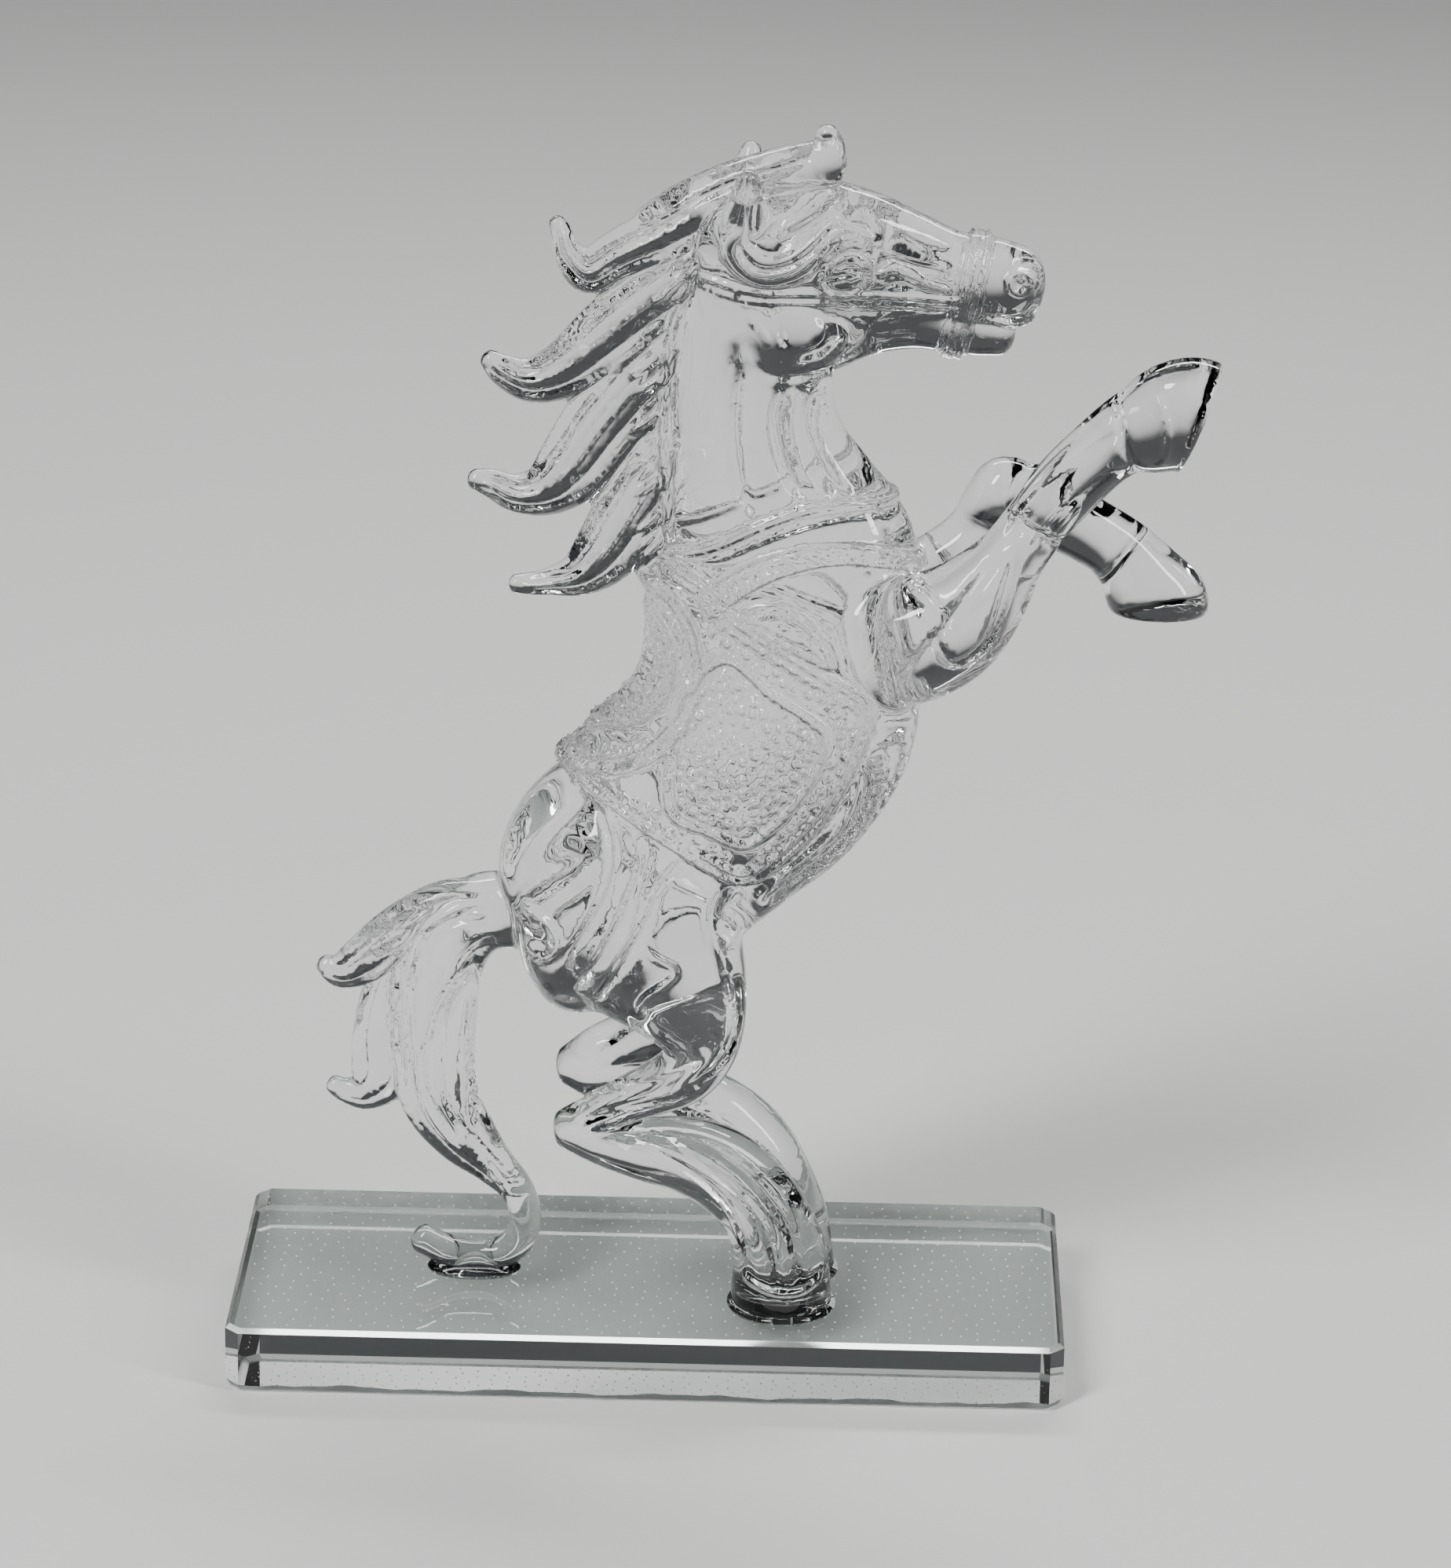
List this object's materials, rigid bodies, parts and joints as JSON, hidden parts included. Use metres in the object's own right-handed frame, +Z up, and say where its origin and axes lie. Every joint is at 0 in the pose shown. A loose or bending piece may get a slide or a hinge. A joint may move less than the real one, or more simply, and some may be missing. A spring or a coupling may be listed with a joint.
{
  "type": "horse figurine",
  "caption": "Rearing horse of clear crystal glass with saddle, bridle and curling mane, standing on its hind legs and tail on a rectangular clear glass slab.",
  "frame": {"origin": "centre of the slab's underside", "axes": "+Z up, +X the way the horse faces, -Y towards its right flank"},
  "size_m": [0.1718, 0.063, 0.2277],
  "materials": {
    "crystal_glass": "clear, flame polished",
    "float_glass": "clear, with finely ground edges",
    "clear_adhesive": "clear, glossy"
  },
  "bodies": {
    "root": {"slab": "float_glass", "horse": "crystal_glass", "hoof_adhesive": "clear_adhesive", "tail_adhesive": "clear_adhesive"}
  },
  "joints": []
}
